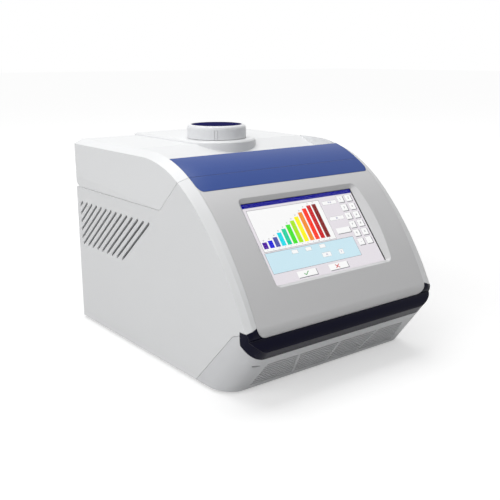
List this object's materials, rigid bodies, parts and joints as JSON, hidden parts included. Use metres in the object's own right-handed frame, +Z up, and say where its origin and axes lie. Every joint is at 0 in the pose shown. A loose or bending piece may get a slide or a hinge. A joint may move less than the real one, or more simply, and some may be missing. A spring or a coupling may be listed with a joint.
{
  "type": "thermal cycler",
  "caption": "Bench thermal cycler with a hinged lid, a heated plate lowered by the knob on top, a block of tube wells, a sloping touch screen and a rear power inlet.",
  "frame": {"origin": "on the bench, under the middle of the case", "axes": "+X to the right seen from the front, front towards -Y, +Z up"},
  "size_m": [0.26, 0.345, 0.2439],
  "materials": {
    "case": "fine satin",
    "fascia": "fine satin",
    "chin": "fine satin",
    "band": "high gloss",
    "strip": "high gloss",
    "knob_body": "fine satin",
    "knob_disc": "satin gloss",
    "screen": "clear",
    "display": "smooth",
    "sheet": "plain",
    "rear_paint": "fine texture",
    "inner_plastic": "matt",
    "soft": "matt",
    "alloy": "machined",
    "ceramic": "plain",
    "bronze": "turned",
    "steel": "ground",
    "bright": "bright",
    "black": "fine texture",
    "board": "satin",
    "foam": "open foam",
    "heater": "satin",
    "standoff": "plain"
  },
  "bodies": {
    "base": {"housing_shell": "case", "band_lower": "band", "front_panel": "fascia", "touch_glass": "screen", "display_module": "display", "display_bracket": "sheet", "bumper_strip": "strip", "chin_cover": "chin", "air_filter": "foam", "base_tray": "sheet", "deck": "inner_plastic", "block_gasket": "soft", "sample_block": "alloy", "cooler_modules": "ceramic", "heat_sink": "alloy", "sink_brackets": "sheet", "rear_panel": "rear_paint", "power_entry": "black", "inlet_pins": "bronze", "switch_body": "black", "usb_sockets": "bright", "fan_frame": "black", "air_duct": "black", "power_supply": "sheet", "control_board": "board", "board_standoffs": "standoff", "hinge_base_brackets": "steel", "hinge_pins": "steel", "catch_plates": "steel", "rear_screws": "bright", "rubber_feet": "soft"},
    "lid": {"lid_shell": "case", "band_upper": "band", "lid_liner": "inner_plastic", "catch_magnets": "bright", "cross_beam": "sheet", "spindle_bush": "bronze", "guide_posts": "steel", "hinge_lid_brackets": "steel"},
    "knob": {"knob": "knob_body", "knob_cap": "knob_disc", "spindle": "steel"},
    "plate": {"heated_plate": "alloy", "heater_pad": "heater", "plate_carrier": "alloy", "lead_nut": "bronze"},
    "fan": {"fan_rotor": "black"},
    "drawer": {"fuse_drawer": "black"},
    "rocker": {"rocker_switch": "black"}
  },
  "joints": [
    {"name": "lid_hinge", "type": "hinge", "parent": "base", "child": "lid", "pos_m": [0, 0.1639, 0.1769], "axis": [-1, 0, 0], "range_deg": [0, 75]},
    {"name": "knob_turn", "type": "hinge", "parent": "lid", "child": "knob", "pos_m": [0, 0.0578, 0.2284], "axis": [0, 0, 1], "range_deg": [0, 360]},
    {"name": "plate_slide", "type": "slide", "parent": "lid", "child": "plate", "axis": [0, 0, -1], "range_m": [0, 0.006]},
    {"name": "fan_spin", "type": "hinge", "parent": "base", "child": "fan", "pos_m": [0.058, 0.155, 0.082], "axis": [0, 1, 0], "continuous": true},
    {"name": "fuse_slide", "type": "slide", "parent": "base", "child": "drawer", "axis": [0, 1, 0], "range_m": [0, 0.012]},
    {"name": "rocker_tilt", "type": "hinge", "parent": "base", "child": "rocker", "pos_m": [-0.108, 0.1657, 0.042], "axis": [-1, 0, 0], "range_deg": [0, 16]}
  ],
  "couplings": [
    {"joint": "knob_turn", "follows": "plate_slide", "rad_per_m": 1047.2}
  ]
}
